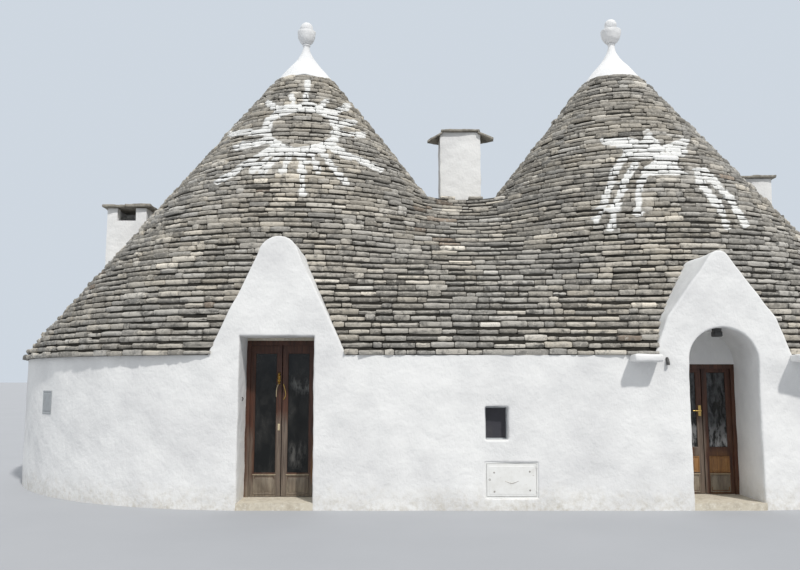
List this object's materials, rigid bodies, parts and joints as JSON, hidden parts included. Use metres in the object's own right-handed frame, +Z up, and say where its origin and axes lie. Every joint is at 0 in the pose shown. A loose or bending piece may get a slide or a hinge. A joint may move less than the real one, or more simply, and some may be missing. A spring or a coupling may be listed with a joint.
{
  "type": "trullo house",
  "caption": "Double dry-stone trullo: two stone-course cones over thick whitewashed walls, with gabled doorways, chimneys and white pinnacles.",
  "frame": {"origin": "ground level, midway between the two cone axes", "axes": "+X along the front to the right, +Y from the front into the building, +Z up"},
  "size_m": [15.06, 9.36, 8.487],
  "materials": {
    "whitewash": "uneven brushed lime wash over plastered stone",
    "masonry": "rough limestone masonry",
    "roof_stone": "weathered grey limestone slabs laid dry",
    "slab_stone": "weathered limestone slab with lichen",
    "pale_stone": "worn pale limestone",
    "cap_plaster": "smooth white lime plaster",
    "door_wood": "brown varnished wood, weathered",
    "glass": "clear window glass",
    "brass": "dull brass",
    "window_metal": "grey painted metal",
    "hatch_metal": "white painted sheet steel with rust at the edges",
    "cover_metal": "grey painted sheet steel"
  },
  "bodies": {
    "house": {"floor": "pale_stone", "west_front_wall": "whitewash", "west_back_wall": "whitewash", "east_front_wall": "whitewash", "east_back_wall": "whitewash", "front_left_wall": "whitewash", "front_mid_wall": "whitewash", "hatch_masonry": "whitewash", "window_masonry": "whitewash", "front_right_wall": "whitewash", "back_left_wall": "whitewash", "back_mid_wall": "whitewash", "back_right_wall": "whitewash", "thresholds": "pale_stone", "left_gable": "whitewash", "right_gable": "whitewash", "left_lintel": "pale_stone", "right_tympanum": "whitewash", "eaves_ledges": "whitewash", "left_vault": "masonry", "right_vault": "masonry", "left_roof": "roof_stone", "right_roof": "roof_stone", "front_valley": "roof_stone", "back_valley": "roof_stone", "saddle": "roof_stone", "left_cap": "cap_plaster", "right_cap": "cap_plaster", "left_pinnacle": "cap_plaster", "right_pinnacle": "cap_plaster", "left_chimney": "whitewash", "left_chimney_slab": "slab_stone", "mid_chimney": "whitewash", "mid_chimney_slabs": "slab_stone", "right_chimney": "whitewash", "right_chimney_slab": "slab_stone", "left_door_frame": "door_wood", "right_door_frame": "door_wood", "window_frame": "window_metal", "window_pane": "glass", "hatch_frame": "hatch_metal", "meter_cover": "cover_metal"},
    "left_leaf_left": {"left_leaf_a": "door_wood", "left_pane_a": "glass"},
    "left_leaf_right": {"left_leaf_b": "door_wood", "left_pane_b": "glass"},
    "right_leaf_left": {"right_leaf_a": "door_wood", "right_pane_a": "glass", "right_handle": "brass"},
    "right_leaf_right": {"right_leaf_b": "door_wood", "right_pane_b": "glass"},
    "hatch": {"hatch_door": "hatch_metal"}
  },
  "joints": [
    {"name": "left_door_left_leaf", "type": "hinge", "parent": "house", "child": "left_leaf_left", "pos_m": [-3.1075, -3.922, 1], "axis": [0, 0, 1], "range_deg": [0, 90]},
    {"name": "left_door_right_leaf", "type": "hinge", "parent": "house", "child": "left_leaf_right", "pos_m": [-2.2525, -3.922, 1], "axis": [0, 0, 1], "range_deg": [-90, 0]},
    {"name": "right_door_left_leaf", "type": "hinge", "parent": "house", "child": "right_leaf_left", "pos_m": [2.5325, -3.672, 1], "axis": [0, 0, 1], "range_deg": [0, 90]},
    {"name": "right_door_right_leaf", "type": "hinge", "parent": "house", "child": "right_leaf_right", "pos_m": [3.3275, -3.672, 1], "axis": [0, 0, 1], "range_deg": [-90, 0]},
    {"name": "hatch_hinge", "type": "hinge", "parent": "house", "child": "hatch", "pos_m": [0.5525, -4.506, 0.365], "axis": [0, 0, 1], "range_deg": [0, 110]}
  ]
}
